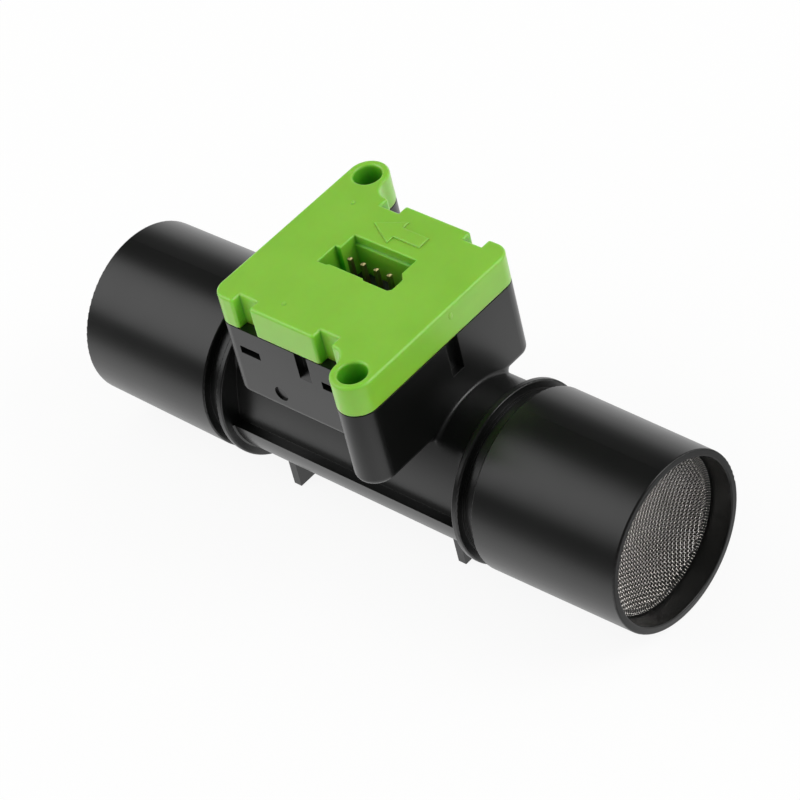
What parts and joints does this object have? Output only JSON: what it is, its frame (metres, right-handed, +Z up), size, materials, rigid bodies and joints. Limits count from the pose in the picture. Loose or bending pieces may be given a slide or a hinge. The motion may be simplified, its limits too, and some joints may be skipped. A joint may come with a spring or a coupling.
{
  "type": "gas flow meter",
  "caption": "Straight gas flow meter: round tube with tapered hose ends, woven wire screens in its mouths, and a sensor housing on top closed by a cap with a pin connector.",
  "frame": {"origin": "middle of the footprint, on the plane that the cross feet stand on, straight below the middle of the flow axis", "axes": "+X along the flow axis towards the inlet, +Y across the tube, +Z up through the housing and the cap; the flow axis is 11.4 mm above the origin"},
  "size_m": [0.0826, 0.0322, 0.0345],
  "materials": {
    "black_plastic": "satin injection moulding",
    "green_plastic": "satin injection moulding",
    "steel_wire": "drawn wire, woven",
    "duct_plastic": "plain dark moulding",
    "gasket_rubber": "moulded",
    "board_laminate": "lacquered laminate",
    "chip_package": "moulded",
    "header_plastic": "moulded",
    "contact_metal": "gold plated",
    "chip_ceramic": "fired"
  },
  "bodies": {
    "root": {"flow_body": "black_plastic", "connector_cap": "green_plastic", "inlet_screen": "steel_wire", "outlet_screen": "steel_wire", "flow_restrictor": "duct_plastic", "sensor_gasket": "gasket_rubber", "circuit_board": "board_laminate", "sensor_chip": "chip_package", "controller_chip": "chip_package", "memory_chip": "chip_package", "pin_header": "header_plastic", "contact_pin_1": "contact_metal", "contact_pin_2": "contact_metal", "contact_pin_3": "contact_metal", "contact_pin_4": "contact_metal", "capacitor_1": "chip_ceramic", "capacitor_2": "chip_ceramic", "capacitor_3": "chip_ceramic", "resistor_1": "chip_package", "resistor_2": "chip_package"}
  },
  "joints": []
}
